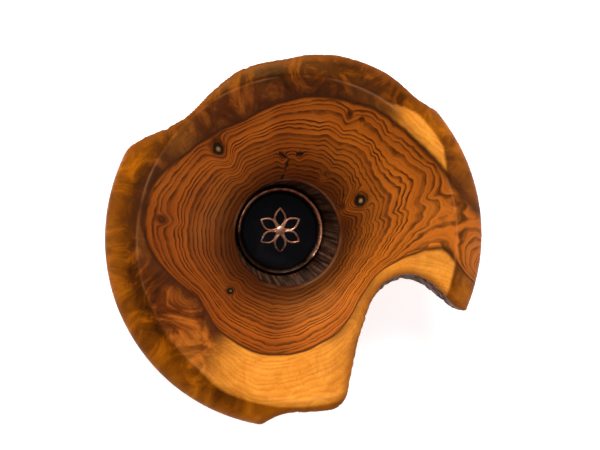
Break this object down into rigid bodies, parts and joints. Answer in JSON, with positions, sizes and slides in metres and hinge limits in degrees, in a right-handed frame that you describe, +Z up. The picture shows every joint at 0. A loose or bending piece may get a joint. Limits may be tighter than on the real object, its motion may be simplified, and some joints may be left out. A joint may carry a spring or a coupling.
{
  "type": "yarn bowl",
  "caption": "Turned live-edge wooden yarn bowl with a natural notch that leads the yarn out, a central well and a round black medallion in a copper bezel.",
  "frame": {"origin": "centre of the base plane on the turning axis, at the underside of the cork pad", "axes": "+Z up along the turning axis; +X towards the side of the hook's point; the notch opens between +X and -Y"},
  "size_m": [0.166, 0.1614, 0.075],
  "materials": {
    "wood": "oiled and wiped satin, red-brown heartwood and golden sapwood",
    "cork": "fine agglomerated cork, unsealed",
    "glue": "dark adhesive foam",
    "black_gloss": "polished black",
    "copper": "copper-coloured foil, slightly worn"
  },
  "bodies": {
    "root": {"bowl_body": "wood", "foot_pad": "cork", "glue_pad": "glue", "medallion_disc": "black_gloss", "bezel_ring": "copper", "rosette_inlay": "copper"}
  },
  "joints": []
}
